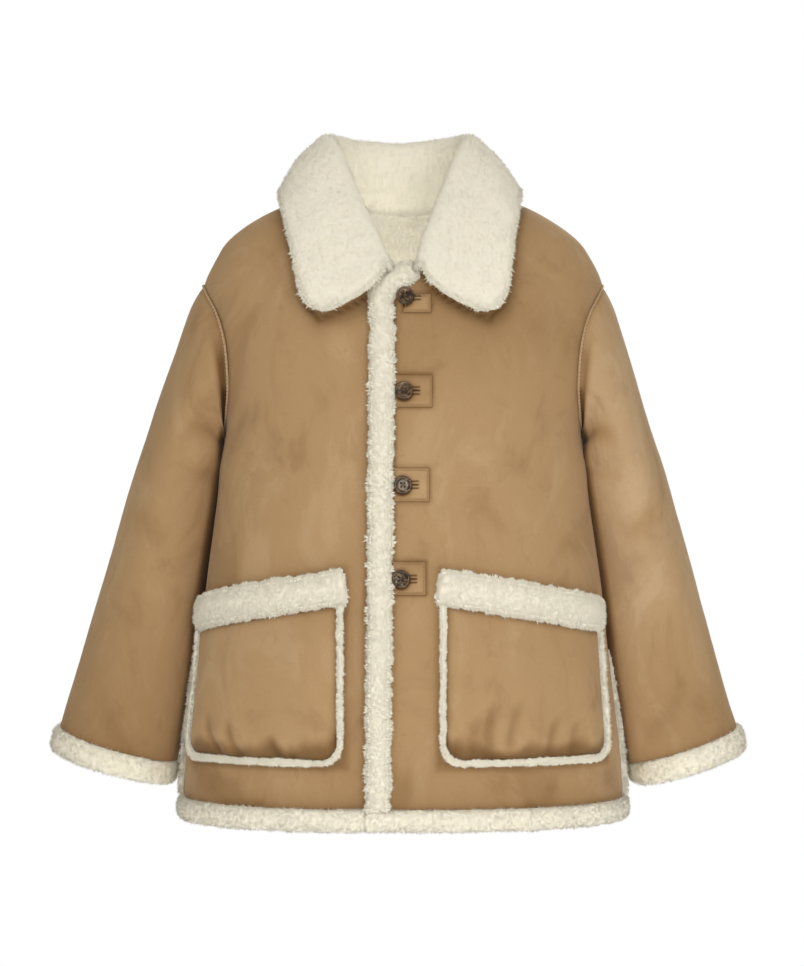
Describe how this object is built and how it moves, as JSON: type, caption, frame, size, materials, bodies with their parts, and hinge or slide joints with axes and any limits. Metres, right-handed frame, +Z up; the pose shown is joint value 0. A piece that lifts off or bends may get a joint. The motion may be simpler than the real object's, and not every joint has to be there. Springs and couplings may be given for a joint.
{
  "type": "shearling coat",
  "caption": "Hip-length shearling coat, filled out and buttoned, suede outside and fleece inside, with a wide fleece collar and banded patch pockets.",
  "frame": {"origin": "midway between the two points where the shoulder seams meet the neck, where the wearer's neck and shoulders hold the coat", "axes": "+X to the wearer's left, the front faces -Y, +Z up"},
  "size_m": [0.8037, 0.3151, 0.7834],
  "materials": {
    "suede_fleece": "napped suede with wool fleece on its inner face",
    "suede": "napped suede",
    "fleece": "short curled wool pile",
    "horn": "polished brown horn"
  },
  "bodies": {
    "root": {"back": "suede_fleece", "button_1": "horn", "button_2": "horn", "button_3": "horn", "button_4": "horn", "button_patch_1": "suede", "button_patch_2": "suede", "button_patch_3": "suede", "button_patch_4": "suede", "collar": "fleece", "cuff_left": "fleece", "cuff_right": "fleece", "front_left": "suede_fleece", "front_right": "suede_fleece", "hem_band_back": "fleece", "hem_band_front_left": "fleece", "hem_band_front_right": "fleece", "placket_trim": "fleece", "pocket_band_left": "fleece", "pocket_band_right": "fleece", "pocket_edging_left": "fleece", "pocket_edging_right": "fleece", "pocket_left": "suede_fleece", "pocket_right": "suede_fleece", "sleeve_left": "suede_fleece", "sleeve_right": "suede_fleece", "slit_trim_back_left": "fleece", "slit_trim_back_right": "fleece", "slit_trim_front_left": "fleece", "slit_trim_front_right": "fleece"}
  },
  "joints": []
}
